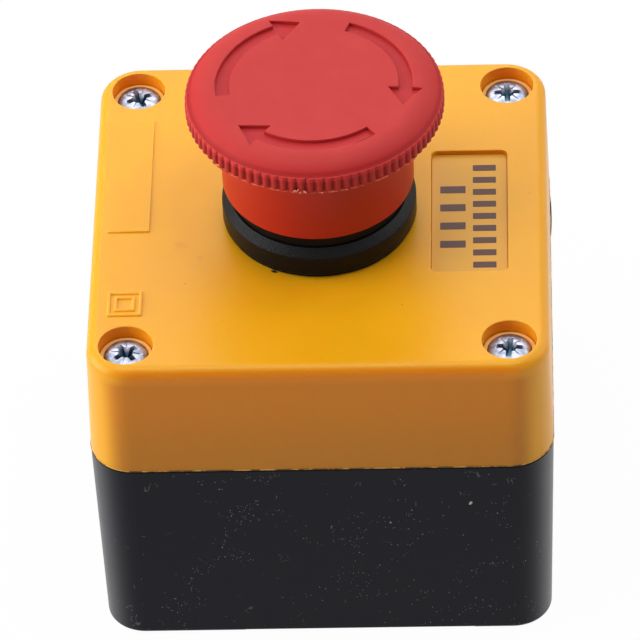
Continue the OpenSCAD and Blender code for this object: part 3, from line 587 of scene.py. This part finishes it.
# Low on each head, deep in the cross recess and down its side in the well, it is painted dark
# teal: painted shade.
clear_of_recess_shade = zinc.above(zinc.axis("Z"), high[2] / mm - 1.1, high[2] / mm - 0.35)
zinc.use(Base_Color=zinc.blend(clear_of_recess_shade, (74, 104, 122),
                               zinc.blend(bluish, (128, 136, 154), (178, 182, 196))),
         Roughness=0.28 + zinc.noise(2.5, 3) * 0.2,
         Normal=zinc.bump(zinc.noise(5, 3), 0.006, 0.5))
zinc.on(*screws, "cap_screw", "collar_screw", "block_screws", "terminal_clamps",
        "terminal_screws")

# Washers: a ring of natural nylon under the head of each lid screw, pressed flat at the foot
# of its well.
nylon = Finish("natural_nylon", Roughness=0.4)
nylon.use(Base_Color=nylon.blend(nylon.noise(0.6), (240, 186, 100), (248, 200, 120)),
          Normal=nylon.bump(nylon.noise(3), 0.01, 0.4))
nylon.on("screw_washers")

# Inserts: turned brass bushes for the lid screws, pressed into the base's pillars. The
# contact block's bridge and strips are brass too.
brass = Finish("turned_brass", Metallic=1, Roughness=0.3)
brass.use(Base_Color=brass.blend(brass.noise(1.5, 3), (196, 160, 92), (214, 182, 120)),
          Normal=brass.bump(brass.noise(6, place=brass.stretch((0.3, 0.3, 6))), 0.008, 0.5))
brass.on("thread_inserts", "bridge_contact", "fixed_contacts")

# Legend panel: a thin printed tan plate beside the button, cut from sheet and glued into the
# lid's pocket.
tan = Finish("legend_sheet", Roughness=0.45, Specular_IOR_Level=0.35)
tan.use(Base_Color=tan.blend(tan.noise(0.15, 3), (216, 157, 46), (224, 165, 58)),
        Normal=tan.bump(tan.noise(8), 0.006, 0.4))
tan.on("legend_panel")

# Legend print: two columns of plain bars in dark brown ink, screen-printed on the panel. The
# top bar of each column is drawn, and the others are its copies.
ink = Finish("brown_ink", Roughness=0.5, Specular_IOR_Level=0.3)
ink.use(Base_Color=ink.blend(ink.noise(2, 3), (74, 46, 42), (92, 60, 52)),
        Normal=ink.bump(ink.noise(9), 0.004, 0.4))


def join(pieces, name):
    """Makes one piece of them."""
    for piece in pieces:
        piece.select_set(True)
    bpy.context.view_layer.objects.active = pieces[-1]
    bpy.ops.object.join()
    return made(name)


print_middle, print_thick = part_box("legend_panel")[1][2] + 0.013 * mm, 0.03
printed = []
for count, left, wide, top, pitch, tall in ((9, 24.05, 3.65, 11.35, 2.81, 1.35),
                                            (4, 18.9, 4.0, 6.45, 4.22, 1.6)):
    bpy.ops.mesh.primitive_cube_add(size=mm, scale=(wide, tall, print_thick), location=(
        (left + wide / 2) * mm, (top - tall / 2) * mm, print_middle))
    bpy.ops.object.transform_apply()
    bar = bpy.context.object
    soften(bar, 0.1, lambda p: abs(p.z - print_middle) < 0.005 * mm)
    printed.append(bar)
    for step in range(1, count):
        printed.append(twin(bar, "bar"))
        printed[-1].location.y = -step * pitch * mm
        bpy.ops.object.transform_apply()
bars = join(printed, "legend_bars")
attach(bars, "housing")
ink.on(bars)

# Operator body: a black moulding clamped to the lid from below. Its bezel stands on the
# rubber ring and its threaded barrel goes down into the box. A dark nib of moulding flash
# sticks to the bezel's foot at the front.
bezel = copy_of("operator_body", "bezel_body")
soften(bezel, 0.2, lambda p: p.z > face + 0.5 * mm and p.xy.length > 14.8 * mm)
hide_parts("operator_body")
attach(bezel, "housing")
grained = Finish("grained_black", Roughness=0.4, Specular_IOR_Level=0.13)
grained.use(Base_Color=grained.blend(grained.noise(0.4, 3), (3, 3, 4), (6, 6, 8)),
            Roughness=0.32 + grained.noise(0.5, 3) * 0.12,
            Normal=grained.bump(grained.noise(3.6, 2, 0.6), 0.13, 0.9))
bpy.ops.mesh.primitive_uv_sphere_add(
    segments=16, ring_count=10, radius=0.5 * mm, location=(-6.95 * mm, -13.5 * mm, face),
    rotation=(0, 0, math.radians(-24)))
nib = made("bezel_nib")
nib.scale = (1.1, 0.4, 0.4)
bpy.ops.object.transform_apply()
edit()
bpy.ops.transform.vertex_random(offset=0.06 * mm, seed=5)
edit()
bpy.ops.mesh.bisect(plane_co=(0, 0, face), plane_no=(0, 0, 1), use_fill=True, clear_inner=True)
leave()
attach(nib, "housing")
grained.on(bezel, nib, "retainer_ring")

# Sleeve: a semi-gloss orange-red moulding, a tube that stands on the stem with its web and
# hub. It carries the cap and slides into the bezel.
sleeve = copy_of("head_sleeve", "sleeve_tube")
soften(sleeve, 0.2, lambda p: p.z < face + 9 * mm and p.xy.length > 14.5 * mm)
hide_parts("head_sleeve")
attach(sleeve, "head")
orange = Finish("orange_red_moulding", Roughness=0.38, Specular_IOR_Level=0.3)
orange.use(Base_Color=orange.blend(orange.noise(0.12, 3), (180, 30, 18), (187, 36, 24)),
           Roughness=0.34 + orange.noise(0.4, 3) * 0.12,
           Normal=orange.bump(orange.noise(3), 0.008, 0.4))
orange.on(sleeve)

# Cap: a matt pinkish red moulding, hollow below, with a fluted rim and three arrows sunk into its
# top. A screw holds it to the stem. Its colour grows paler towards its top. Painted highlights
# lighten the flutes' tips and top ends, and painted shade darkens their grooves and the crown's
# lower edge.
low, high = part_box("mushroom_cap")
crown, rim_r, band = high[2] / mm, high[0] / mm, low[2] / mm + 2.7
cap = copy_of("mushroom_cap", "cap_shell", (high[2],))
soften(cap, 0.15, lambda p: p.z > high[2] - 0.2 * mm or (
    p.z < low[2] + 2.6 * mm and p.xy.length > 19.6 * mm), (high[2],))
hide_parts("mushroom_cap")
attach(cap, "head")
red = Finish("matt_red_moulding", Roughness=0.6, Specular_IOR_Level=0.26)
height = red.axis("Z")
# Paler towards the top.
paler_towards_top = red.above(height, crown - 1.9, crown - 0.2)
trough = red.above(height, crown - 0.35, crown - 0.55) * (red.distance((0, 0, crown)) < 16.8)
plain = red.blend(red.noise(0.12, 4, 0.6), red.blend(paler_towards_top, (182, 23, 20), (182, 44, 43)),
                  red.blend(paler_towards_top, (190, 28, 25), (192, 53, 51)))
spread = red.add("ShaderNodeVectorMath", {0: red.stretch((1, 1, 0))}, output="Value",
                 operation="LENGTH")
# The crown's lower edge over the flutes is painted darker: painted shade.
foot = red.above(height, band + 0.8, band + 0.1) * red.above(spread, rim_r - 1.2, rim_r - 0.9)
# The flutes' top ends and tips are painted lighter and their grooves darker: painted highlights
# and painted shade.
painted_flute_top_highlight = red.above(height, band - 1.1, band - 0.5) * (height < band - 0.04)
painted_tip_highlight = red.above(spread, rim_r - 0.22, rim_r - 0.02)
ribs = red.blend(painted_tip_highlight * 0.6 | painted_flute_top_highlight * 0.8, (150, 14, 14), (206, 50, 46))
plain = red.blend(foot * 0.7, plain, (150, 14, 16))
plain = red.blend(height < band - 0.02, plain, ribs)
red.use(Base_Color=red.blend(trough * 0.6, plain, (176, 34, 42)),
        Roughness=0.52 + red.noise(0.5, 4) * 0.15,
        Normal=red.bump(red.noise(8, 3, 0.6), 0.012, 0.4))
red.on(cap)

# Moulding flash: a thin fin along the front of the cap's lower edge, where its mould closed,
# and a few pale torn bits of it that cling to the rim.
bpy.ops.mesh.primitive_circle_add(vertices=360, radius=high[0] - 0.08 * mm,
                                  location=(0, 0, low[2] - 0.2 * mm))
fin = made("cap_fin")
bpy.ops.object.transform_apply()
mark(fin, "EDGE", lambda p: True)
pull(0, 0, 0.2)
edit()
bpy.ops.transform.vertex_random(offset=0.06 * mm, seed=3)
leave()
mark(fin, "FACE", lambda p: p.y > -12.5 * mm)
bpy.ops.mesh.delete(type="FACE")
leave()
change(fin, "SOLIDIFY", thickness=0.06 * mm, offset=-1)
bits = []
for x, y, z, size, turned in (
        (-2.6, -20.0, 0.3, 0.36, 10), (-1.9, -20.14, 0.05, 0.28, 60),
        (-1.2, -20.17, 0.25, 0.34, -30), (-2.2, -20.1, 0.6, 0.24, 80),
        (1.4, -20.15, -0.05, 0.14, 0), (5.2, -19.5, 0, 0.13, 40)):
    bpy.ops.mesh.primitive_ico_sphere_add(
        subdivisions=2, radius=size * mm, location=(x * mm, y * mm, low[2] + z * mm),
        rotation=(0.4, 0.3, math.radians(turned)))
    bits.append(bpy.context.object)
    bits[-1].scale = (1, 0.35, 0.6)
    bpy.ops.object.transform_apply()
    edit()
    bpy.ops.transform.vertex_random(offset=0.3 * size * mm, seed=len(bits))
    leave()
shreds = join(bits, "cap_shreds")
for name, dark, light, piece in (("fin_flash", (170, 36, 24), (236, 112, 76), fin),
                                 ("pale_flash", (226, 130, 116), (250, 206, 196), shreds)):
    pale = Finish(name, Roughness=0.6, Specular_IOR_Level=0.4)
    pale.use(Base_Color=pale.blend(pale.above(pale.noise(0.8, 3, 0.7), 0.44, 0.6), dark, light),
             Normal=pale.bump(pale.noise(6, 3), 0.02, 0.5))
    pale.on(piece)
for piece in (fin, shreds):
    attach(piece, "head")

# Return spring and pusher spring: drawn steel wire, wound with closed ends that stand on the
# operator body and in the contact block.
travel = 2.4
springs = []
for node, name, joint, foot in (("return_spring", "return_coil", "head_press", 44.85),
                                ("pusher_spring", "pusher_coil", "contact_press", 13.25)):
    coil = copy_of(node, name)
    bpy.ops.object.shade_smooth_by_angle(angle=math.radians(35))
    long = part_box(node)[1][2] / mm - foot
    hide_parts(node)
    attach(coil, "housing")
    foot * mm
    1 - travel / long
    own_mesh(coil)
    springs.append(coil)

# Steel inside the station: springs, latch ring and clip of drawn spring wire, and the stem
# with its cross pin, which are turned from bar.
wire = Finish("spring_wire", Metallic=1, Roughness=0.3)
wire.use(Base_Color=paint(168, 170, 174), Roughness=0.24 + wire.noise(2, 3) * 0.2)
wire.on(*springs, "twist_spring", "contact_spring", "latch_ring", "stem_clip")
steel = Finish("turned_steel", Metallic=1, Roughness=0.3)
steel.use(Base_Color=paint(150, 152, 156), Roughness=0.26 + steel.noise(1.2, 3) * 0.18,
          Normal=steel.bump(steel.noise(5, place=steel.stretch((0.3, 0.3, 8))), 0.006, 0.5))
steel.on("head_stem", "cross_pin")

# Slide and contact pusher: moulded in natural white acetal, which runs without oil. The slide
# runs in the operator body, the pusher in the contact block.
acetal = Finish("white_acetal", Roughness=0.35)
acetal.use(Base_Color=acetal.blend(acetal.noise(0.2, 3), (226, 225, 216), (236, 235, 229)),
           Normal=acetal.bump(acetal.noise(4), 0.006, 0.4))
acetal.on("plunger_slide", "contact_pusher")

# Nut, collar and contact block: dull mouldings in black and greys. The nut clamps the operator
# body from under the lid, and the collar on its barrel carries the block.
for name, colour, member in (("nut_moulding", (28, 28, 29), "mounting_nut"),
                             ("collar_moulding", (92, 94, 98), "mounting_collar"),
                             ("block_moulding", (30, 30, 32), "block_housing"),
                             ("cover_moulding", (52, 52, 55), "block_cover")):
    dull = Finish(name, Roughness=0.5, Specular_IOR_Level=0.3)
    dull.use(Base_Color=dull.blend(dull.noise(0.3, 3) * 0.4, colour, [v + 14 for v in colour]),
             Normal=dull.bump(dull.noise(5, 3), 0.015, 0.5))
    dull.on(member)

# Contact tips: silver alloy buttons on the ends of the bridge and of the fixed strips, which
# meet while the button is up.
silver = Finish("silver_tips", Metallic=1, Roughness=0.25)
silver.use(Base_Color=paint(222, 220, 214), Roughness=0.2 + silver.noise(3) * 0.15)
silver.on("bridge_tips", "fixed_tips")
